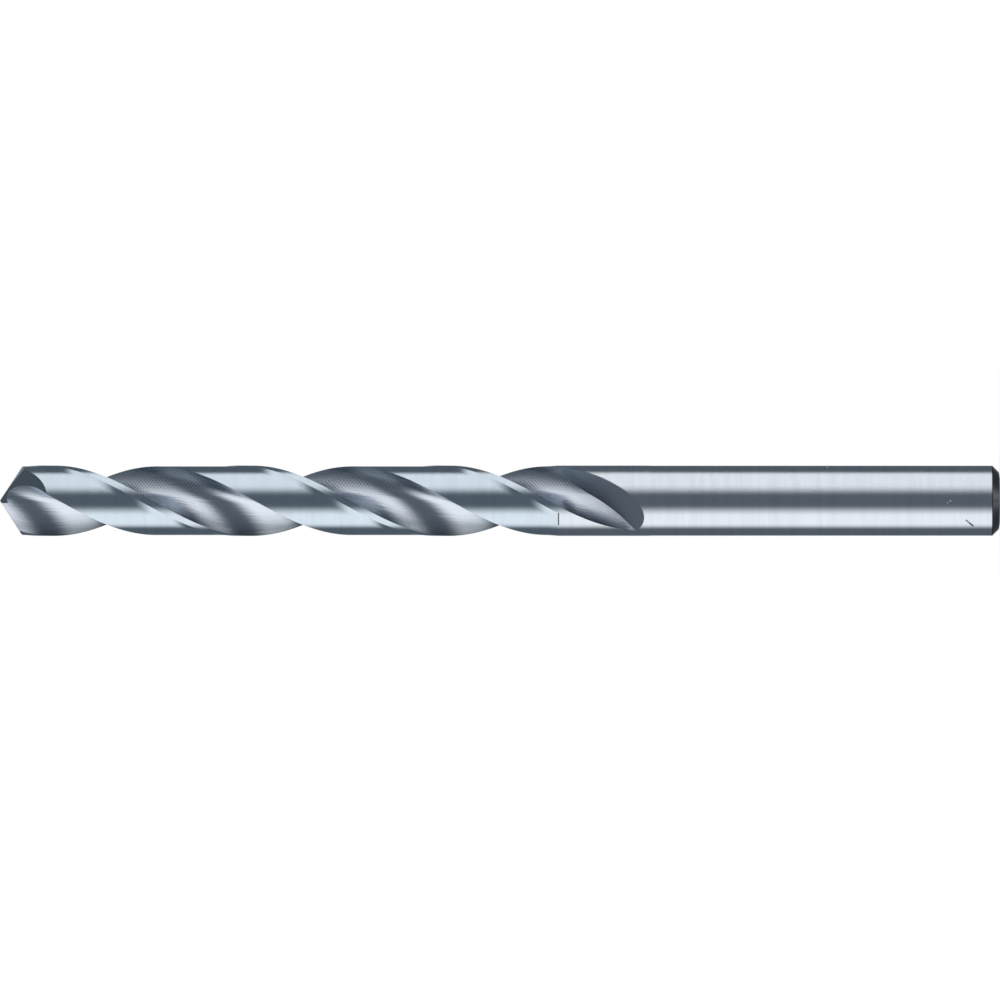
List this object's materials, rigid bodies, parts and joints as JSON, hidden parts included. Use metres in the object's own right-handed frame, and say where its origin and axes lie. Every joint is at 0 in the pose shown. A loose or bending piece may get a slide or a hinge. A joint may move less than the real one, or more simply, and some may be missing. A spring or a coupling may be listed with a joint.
{
  "type": "twist drill bit",
  "caption": "Straight-shank twist drill for metal, with right-hand helical flutes, narrow margins, a split point and a chamfered shank end.",
  "frame": {"origin": "centre of the flat shank end, on the drill's axis", "axes": "+Z along the axis from the shank end to the point; the chisel edge lies along X"},
  "size_m": [0.0088, 0.0088, 0.125],
  "materials": {
    "ground_steel": "bright ground steel, finely lined around the shank and the lands, with streaked flutes"
  },
  "bodies": {
    "root": {"drill_bit": "ground_steel"}
  },
  "joints": []
}
